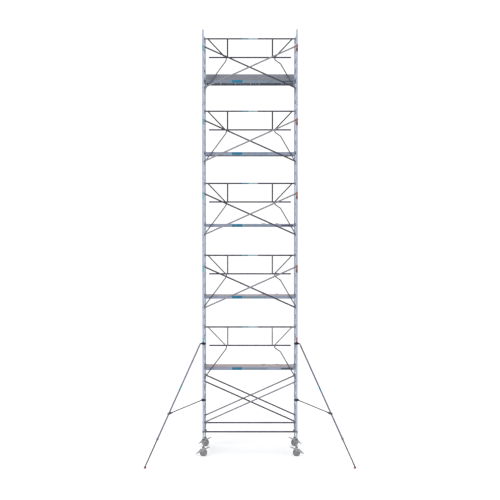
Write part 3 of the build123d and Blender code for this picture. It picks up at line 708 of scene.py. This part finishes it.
def hex_nut(across, thickness, bevel=0.12):
    """Hexagon nut on z = 0 with chamfered corners."""
    shape = Shape()
    outer = across / 2 / cos(pi / 6)
    rings = [
        (outer * (1 - bevel), 0),
        (outer, thickness * bevel * 1.5),
        (outer, thickness * (1 - bevel * 1.5)),
        (outer * (1 - bevel), thickness),
        (outer * 0.45, thickness),
    ]
    points = []
    for r, z in rings:
        for k in range(6):
            points.append((r * cos(pi / 3 * k), r * sin(pi / 3 * k), z))
    faces = grid_faces(len(rings), 6, False, True)
    faces.append(tuple(reversed(range(6))))
    faces.append(tuple(range(len(points) - 6, len(points))))
    shape.add(points, faces)
    return shape


def facing(place, direction):
    """Matrix that puts +Z along a direction at a place."""
    turn = UP.rotation_difference(Vector(direction)).to_matrix().to_4x4()
    return Matrix.Translation(Vector(place)) @ turn


def bead(points, radius, segments=6, ripple=0.12):
    """Closed rippled weld bead along a loop of points."""
    count = len(points)
    centre = sum(points, Vector()) / count
    ring_points = []
    for i, point in enumerate(points):
        tangent = (points[(i + 1) % count] - points[i - 1]).normalized()
        out = point - centre
        out = (out - tangent * out.dot(tangent)).normalized()
        side = tangent.cross(out)
        r = radius * (1 + ripple * (-1) ** i)
        for k in range(segments):
            angle = 2 * pi * k / segments
            ring_points.append(point + out * r * cos(angle) + side * r * sin(angle))
    shape = Shape()
    shape.add(ring_points, grid_faces(count, segments, True, True))
    return shape


def joint_loop(place, tube_axis, tube_r, bar_axis, bar_r, steps=28):
    """The loop where a tube of one radius meets a round bar; tube_axis leaves the bar."""
    axis, bar = Vector(tube_axis).normalized(), Vector(bar_axis).normalized()
    u, v = side_vectors(axis)
    flat = axis - bar * axis.dot(bar)
    loop = []
    for k in range(steps):
        angle = 2 * pi * k / steps
        spoke = (u * cos(angle) + v * sin(angle)) * tube_r
        across = spoke - bar * spoke.dot(bar)
        a, b = flat.length_squared, 2 * across.dot(flat)
        c = across.length_squared - bar_r ** 2
        reach = (-b + sqrt(max(0.0, b * b - 4 * a * c))) / (2 * a)
        loop.append(Vector(place) + spoke + axis * reach)
    return loop


LABEL_THICKNESS = 0.0006
LABEL_CORNER = 0.006


def tube_patch(centre, axis, facing_dir, radius, length, arc):
    """Rounded label wrapped on a tube."""
    corner = LABEL_CORNER
    axis = Vector(axis).normalized()
    out = Vector(facing_dir).normalized()
    side = axis.cross(out)
    rows, columns = 14, 12
    half_length, half_arc = length / 2, arc / 2
    shape = Shape()
    layers = []
    for r in (radius + STAND_OFF, radius + STAND_OFF + LABEL_THICKNESS):
        for i in range(rows):
            along = half_length * sin(pi * (i / (rows - 1) - 0.5))
            past = max(0.0, abs(along) - (half_length - corner))
            narrowing = corner - sqrt(max(0.0, corner ** 2 - past ** 2))
            half = half_arc - narrowing
            for j in range(columns):
                angle = half * (2 * j / (columns - 1) - 1) / radius
                layers.append(Vector(centre) + axis * along + out * r * cos(angle) + side * r * sin(angle))
    size = rows * columns
    inner = [tuple(reversed(f)) for f in grid_faces(rows, columns)]
    outer = [tuple(size + i for i in f) for f in grid_faces(rows, columns)]
    edge = [i * columns for i in range(rows)]
    edge += [(rows - 1) * columns + j for j in range(1, columns)]
    edge += [i * columns + columns - 1 for i in range(rows - 2, -1, -1)]
    edge += list(range(columns - 2, 0, -1))
    rim = []
    for k, first in enumerate(edge):
        second = edge[(k + 1) % len(edge)]
        rim.append((second, first, size + first, size + second))
    shape.add(layers, inner + outer + rim)
    return shape


def plate(centre, length, height, thickness, corner, arc_steps=5):
    """Rounded flat plate in the X-Z plane that stands off its face towards -Y."""
    outline = []
    for sx, sz, start in ((1, 1, 0), (-1, 1, 90), (-1, -1, 180), (1, -1, 270)):
        for k in range(arc_steps + 1):
            angle = radians(start + 90 * k / arc_steps)
            x = sx * (length / 2 - corner) + corner * cos(angle)
            z = sz * (height / 2 - corner) + corner * sin(angle)
            outline.append((x, z))
    count = len(outline)
    layers = ((0, 0.0), (0, thickness * 0.7), (thickness * 0.3, thickness))
    points = []
    for inset, depth in layers:
        for x, z in outline:
            sx, sz = (1 if x > 0 else -1), (1 if z > 0 else -1)
            points.append(Vector(centre) + Vector((x - sx * inset, -depth, z - sz * inset)))
    faces = grid_faces(len(layers), count, False, True)
    faces.append(tuple(reversed(range(count))))
    faces.append(tuple(range(2 * count, 3 * count)))
    shape = Shape()
    shape.add(points, faces)
    return shape


# ---- pieces: welds and rivets ------------------------------------------------------
RUNG_WELD_R = 0.0021
SMALL_WELD_R = 0.0018


def rung_welds(side, first, count):
    shape = Shape()
    for index in range(first, first + count):
        for y_sign in (-1, 1):
            place = (side * HALF_BAY, TOWER_Y + y_sign * HALF_DEPTH, rung_height(index))
            loop = joint_loop(place, (0, -y_sign, 0), RUNG_R, UP, POST_R + STAND_OFF)
            shape.join(bead(loop, RUNG_WELD_R))
    return shape


def make_welds():
    for name, side in SIDES.items():
        make_piece(f"base_welds_{name}", rung_welds(side, 0, BASE_RUNGS), "weld", "tower")
        for lift in range(LIFTS):
            welds = rung_welds(side, BASE_RUNGS + FRAME_RUNGS * lift, FRAME_RUNGS)
            make_piece(f"frame_welds_{name}_{lift + 1}", welds, "weld", "tower")
    for lift in range(LIFTS):
        top = rung_height(deck_rung(lift) + RAIL_RUNGS)
        mid = top - MID_RAIL_DROP
        shape = Shape()
        for side in SIDES.values():
            low = Vector((side * STRUT_FOOT_X, RAIL_Y, mid))
            high = Vector((side * STRUT_TOP_X, RAIL_Y, top))
            foot = Vector((side * UPRIGHT_X, RAIL_Y, mid))
            head = Vector((side * UPRIGHT_X, RAIL_Y, top))
            for start, end, radius in ((foot, head, RAIL_R - STAND_OFF), (low, high, STRUT_R)):
                shape.join(bead(joint_loop(start, end - start, radius, ALONG, RAIL_R), SMALL_WELD_R))
                shape.join(bead(joint_loop(end, start - end, radius, ALONG, RAIL_R), SMALL_WELD_R))
        make_piece(f"guardrail_welds_{lift + 1}", shape, "weld", "tower")


RIVET_R = 0.0055
RIVET_RISE = 0.0024
RIVET_DROPS = (0.028, 0.06)
END_RIVET_INSET = 0.075
CROSS_MEMBERS = (-0.805, -0.395, 0.015, 0.249, 0.871)


def make_rivets():
    """Two rivets through each side beam at every cross member and end."""
    for lift in range(LIFTS):
        low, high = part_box(f"platform_frame_{lift + 1}")
        level = rung_height(deck_rung(lift)) + DECK_RISE
        shape = Shape()
        ends = (-(HALF_BAY - END_RIVET_INSET), HALF_BAY - END_RIVET_INSET)
        for x in (*CROSS_MEMBERS, *ends):
            for drop in RIVET_DROPS:
                for y, direction in ((low.y, -1), (high.y, 1)):
                    place = facing((x, y, level - drop), (0, direction, 0))
                    shape.join(dome(RIVET_R, RIVET_RISE).moved(place))
        make_piece(f"deck_rivets_{lift + 1}", shape, "zinc", "tower")


# ---- pieces: labels ----------------------------------------------------------------
POST_LABEL_RISE = 1.475
FIRST_LABEL_LIFT = 0.03          # the first frame's labels sit a little higher
HALF_MARK_GAP = 0.05
POST_LABEL = (0.17, 0.062)       # length and arc
POST_LABEL_UPPER = (0.1, 0.062)
POST_LABEL_LOWER = (0.09, 0.062)
LEFT_FACING = (-0.35, -1, 0)
RIGHT_FACING = (0.35, -1, 0)
RAIL_LABEL_X, RAIL_LABEL = -0.135, (0.16, 0.044)
RAIL_STRIP_X, RAIL_STRIP = 0.082, (0.26, 0.044)
DECK_LABEL_X, DECK_LABEL = -0.35, (0.285, 0.07, 0.0012, 0.008)    # length, height, thickness, corner
DECK_STRIP_X, DECK_STRIP = 0.15, (0.66, 0.044, 0.001, 0.004)
DECK_PLATE_X, DECK_PLATE = 1.01, (0.32, 0.04, 0.001, 0.006)


def make_labels():
    front_y = TOWER_Y - HALF_DEPTH
    for lift in range(LIFTS):
        z = frame_bottom(lift) + POST_LABEL_RISE
        z += FIRST_LABEL_LIFT if lift == 0 else 0.0
        left = tube_patch((-HALF_BAY, front_y, z), UP, LEFT_FACING, POST_R, *POST_LABEL)
        make_piece(f"post_label_left_{lift + 1}", left, "pale_teal", "tower")
        place = (HALF_BAY, front_y, z + HALF_MARK_GAP)
        upper = tube_patch(place, UP, RIGHT_FACING, POST_R, *POST_LABEL_UPPER)
        make_piece(f"post_label_right_{lift + 1}", upper, "orange", "tower")
        place = (HALF_BAY, front_y, z - HALF_MARK_GAP)
        lower = tube_patch(place, UP, RIGHT_FACING, POST_R, *POST_LABEL_LOWER)
        make_piece(f"post_mark_right_{lift + 1}", lower, "dark_red", "tower")

        rail_z = rung_height(deck_rung(lift) + RAIL_RUNGS)
        teal = tube_patch((RAIL_LABEL_X, RAIL_Y, rail_z), ALONG, -ACROSS, RAIL_R, *RAIL_LABEL)
        make_piece(f"rail_label_{lift + 1}", teal, "teal", "tower")
        pale = tube_patch((RAIL_STRIP_X, RAIL_Y, rail_z), ALONG, -ACROSS, RAIL_R, *RAIL_STRIP)
        make_piece(f"rail_strip_{lift + 1}", pale, "pale", "tower")

        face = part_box(f"platform_frame_{lift + 1}")[0].y
        middle_z = rung_height(deck_rung(lift)) + DECK_RISE - BEAM_HEIGHT / 2
        block = plate((DECK_LABEL_X, face, middle_z), *DECK_LABEL)
        make_piece(f"deck_label_{lift + 1}", block, "teal", "tower")
        strip = plate((DECK_STRIP_X, face, middle_z), *DECK_STRIP)
        make_piece(f"deck_strip_{lift + 1}", strip, "barred", "tower")
        if lift % 2 == 0:
            end = plate((DECK_PLATE_X, face, middle_z), *DECK_PLATE)
            make_piece(f"deck_plate_{lift + 1}", end, "dark_plate", "tower")


# ---- pieces: screw legs and castors ------------------------------------------------
THREAD_PITCH = 0.006
THREAD_DEPTH = 0.0009
THREAD_RUN_IN = 0.02
THREAD_RUN_OUT = 0.01
HOUSING_HEIGHT = 0.026
LEG_WELD_LOOP_R = 0.0202


def threaded_tube(low, high, steps=28):
    """Hollow spindle with a rolled round thread; its crests have the CAD radius."""
    rise = THREAD_PITCH / 5
    count = int(round((high - low) / rise))
    points = []
    for i in range(count + 1):
        z = low + (high - low) * i / count
        fade = min(1.0, (z - low) / THREAD_RUN_IN, (high - z) / THREAD_RUN_OUT)
        for k in range(steps):
            angle = 2 * pi * k / steps
            phase = 2 * pi * z / THREAD_PITCH - angle
            r = SCREW_R - THREAD_DEPTH * max(0.0, fade) * (1 - cos(phase)) / 2
            points.append((r * cos(angle), r * sin(angle), z))
    for z in (high, low):
        for k in range(steps):
            angle = 2 * pi * k / steps
            points.append((SCREW_BORE_R * cos(angle), SCREW_BORE_R * sin(angle), z))
    shape = Shape()
    shape.add(points, grid_faces(count + 3, steps, True, True))
    return shape


def corner_place(corner):
    x_sign, y_sign = CORNERS[corner]
    return Vector((x_sign * HALF_BAY, TOWER_Y + y_sign * HALF_DEPTH, 0))


def make_screw_leg(corner):
    body = f"screw_leg_{corner}"
    low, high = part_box(body)
    place = Matrix.Translation(corner_place(corner))
    housing_top = low.z + HOUSING_HEIGHT
    shape = threaded_tube(housing_top, high.z)
    make_piece(f"threaded_leg_{corner}", shape.moved(place), "zinc", body, replaces=(body,))
    profile = [
        (0.0102, low.z),
        (0.0292, low.z),
        (0.031, low.z + 0.002),
        (0.031, low.z + 0.009),
        (0.0296, low.z + 0.0105),
        (0.0296, low.z + 0.0125),
        (0.031, low.z + 0.014),
        (0.031, housing_top - 0.006),
        (0.029, housing_top - 0.002),
        (0.0232, housing_top),
        (0.0102, housing_top),
    ]
    make_piece(f"swivel_housing_{corner}", lathe(profile, 40).moved(place), "dark_zinc", body)
    loop = []
    for angle in np.linspace(0, 2 * pi, 41)[:-1]:
        x, y = cos(angle) * LEG_WELD_LOOP_R, sin(angle) * LEG_WELD_LOOP_R
        loop.append(Vector((x, y, housing_top + SMALL_WELD_R / 2)))
    make_piece(f"leg_weld_{corner}", bead(loop, SMALL_WELD_R).moved(place), "weld", body)


TYRE_SHOULDER = 0.009
GROOVE_SPACING = 0.008
GROOVE_HALF = 0.0016
GROOVE_DEPTH = 0.0014


def tyre_profile():
    """Quarter-round shoulders and a flat tread with three fine grooves."""
    half = TYRE_HALF
    shoulder = TYRE_SHOULDER
    points = [(RIM_R + STAND_OFF, -half + 0.002), (RIM_R + 0.002, -half)]
    for k in range(7):
        angle = radians(-90 + 90 * k / 6)
        points.append((WHEEL_R - shoulder + shoulder * cos(angle), -half + shoulder + shoulder * sin(angle)))
    for y in (-GROOVE_SPACING, 0.0, GROOVE_SPACING):
        points.append((WHEEL_R, y - GROOVE_HALF))
        points.append((WHEEL_R - GROOVE_DEPTH, y))
        points.append((WHEEL_R, y + GROOVE_HALF))
    for k in range(7):
        angle = radians(90 * k / 6)
        points.append((WHEEL_R - shoulder + shoulder * cos(angle), half - shoulder + shoulder * sin(angle)))
    points += [(RIM_R + 0.002, half), (RIM_R + STAND_OFF, half - 0.002)]
    return points


def rim_profile():
    """Moulded rim: bead seats, a deep dish on both sides and a long hub."""
    half = TYRE_HALF - 0.004
    upper = [
        (RIM_R, half),
        (RIM_R - 0.003, half + 0.0008),
        (RIM_R - 0.010, half),
        (RIM_R - 0.013, half - 0.003),
        (RIM_R - 0.016, 0.0045),
        (0.034, 0.004),
        (0.0245, 0.007),
        (0.0225, HUB_HALF - 0.002),
        (0.0205, HUB_HALF),
        (AXLE_R, HUB_HALF),
    ]
    lower = [(r, -y) for r, y in reversed(upper)]
    return upper + lower


def rim_rib(angle, side):
    """Tapered radial rib in the dish."""
    shape = Shape()
    points = []
    for r, half, height in ((0.0235, 0.0032, 0.019), (0.046, 0.0027, 0.0145), (0.0675, 0.0024, 0.0115)):
        for y, w in ((0.003, half), (height - 0.001, half * 0.9), (height, half * 0.6)):
            points.append((r, side * y, w))
        for y, w in ((height, -half * 0.6), (height - 0.001, -half * 0.9), (0.003, -half)):
            points.append((r, side * y, w))
    faces = grid_faces(3, 6, False, True)
    faces += [tuple(range(6)), tuple(range(12, 18))]
    shape.add(points, faces)
    return shape.moved(Matrix.Rotation(angle, 4, "Y"))


RIB_COUNT = 8
AXLE_NUT = (0.019, 0.006)    # across flats, thickness
AXLE_NUT_GAP = 0.008
SEAL_BOTTOM = 0.2352
SEAL_OUTLINE = (             # radius, height above the seal's bottom
    (0.0305, 0),
    (0.0345, 0),
    (0.036, 0.0016),
    (0.0345, 0.0034),
    (0.0325, 0.0042),
    (0.0318, 0.003),
    (0.0318, 0.001),
)


def make_castor(corner):
    body = f"castor_wheel_{corner}"
    centre = corner_place(corner) + UP * WHEEL_R
    across = Matrix.Rotation(pi / 2, 4, "X")
    place = Matrix.Translation(centre)
    tyre = lathe(tyre_profile(), 64).moved(place @ across)
    make_piece(f"tyre_{corner}", tyre, "tyre", body, replaces=(body,))
    rim = lathe(rim_profile(), 56).moved(place @ across)
    make_piece(f"rim_{corner}", rim, "rim", body)
    ribs = Shape()
    for k in range(RIB_COUNT):
        for side in (-1, 1):
            ribs.join(rim_rib(2 * pi * k / RIB_COUNT, side))
    make_piece(f"rim_ribs_{corner}", ribs.moved(place), "rim", body)

    fork = f"castor_fork_{corner}"
    hardware = Shape()
    for side in (-1, 1):
        nut_place = centre + Vector((0, side * (FORK_OUTSIDE + AXLE_NUT_GAP), 0))
        hardware.join(hex_nut(*AXLE_NUT).moved(facing(nut_place, (0, side, 0))))
    make_piece(f"axle_nuts_{corner}", hardware, "dark_zinc", fork)
    seal = [(r, SEAL_BOTTOM + rise) for r, rise in SEAL_OUTLINE]
    ring = lathe(seal, 48).moved(Matrix.Translation(corner_place(corner)))
    make_piece(f"swivel_seal_{corner}", ring, "cap", fork)


def make_undercarriage():
    for corner in CORNERS:
        make_screw_leg(corner)
        make_castor(corner)


# ---- pieces: stabilisers -----------------------------------------------------------
PAD_OUTLINE = (              # radius, height above the ground
    (0.0004, 0.0006),
    (0.010, 0.0006),
    (0.012, 0.0026),
    (0.016, 0.0026),
    (0.018, 0.0),
    (0.024, 0.0),
    (0.026, 0.0024),
    (0.029, 0.0024),
    (0.0305, 0.0),
    (0.034, 0.0),
    (0.036, 0.002),
    (0.036, 0.008),
    (0.0346, 0.0095),
    (0.036, 0.011),
    (0.036, 0.0155),
    (0.0335, 0.0195),
    (0.026, 0.0218),
    (0.0004, 0.0224),
)


def make_feet():
    """Ribbed rubber pads under the two stabilisers."""
    for side in SIDES:
        body = f"stabiliser_foot_{side}"
        low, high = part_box(body)
        centre = Vector(((low.x + high.x) / 2, (low.y + high.y) / 2, 0))
        pad = lathe(PAD_OUTLINE, 44, closed=False).moved(Matrix.Translation(centre))
        make_piece(f"foot_pad_{side}", pad, "foot", body)


UPPER_CLAMP = 3.03
UPPER_PIN = 0.11
STABILISER_LABEL_SHARE = 0.375
STABILISER_TUBE_R = 0.021
STABILISER_LABEL = (0.14, 0.055)    # length and arc


def make_stabiliser_labels():
    for name, side in SIDES.items():
        foot = middle(f"stabiliser_foot_{name}")
        post = Vector((side * HALF_BAY, TOWER_Y - HALF_DEPTH, 0))
        outward = Vector((foot.x - post.x, foot.y - post.y, 0)).normalized()
        top = post + outward * UPPER_PIN + UP * UPPER_CLAMP
        foot.z = FOOT_PIN
        axis = (top - foot).normalized()
        centre = top.lerp(foot, STABILISER_LABEL_SHARE)
        front = -ACROSS + axis * ACROSS.dot(axis)
        label = tube_patch(centre, axis, front, STABILISER_TUBE_R, *STABILISER_LABEL)
        make_piece(f"stabiliser_label_{name}", label, "teal", f"stabiliser_tube_{name}")


make_camera()
make_studio()
dress_frames()
dress_braces()
dress_guardrails()
dress_decks()
dress_legs_and_stabilisers()
make_welds()
make_rivets()
make_labels()
make_undercarriage()
make_feet()
make_stabiliser_labels()
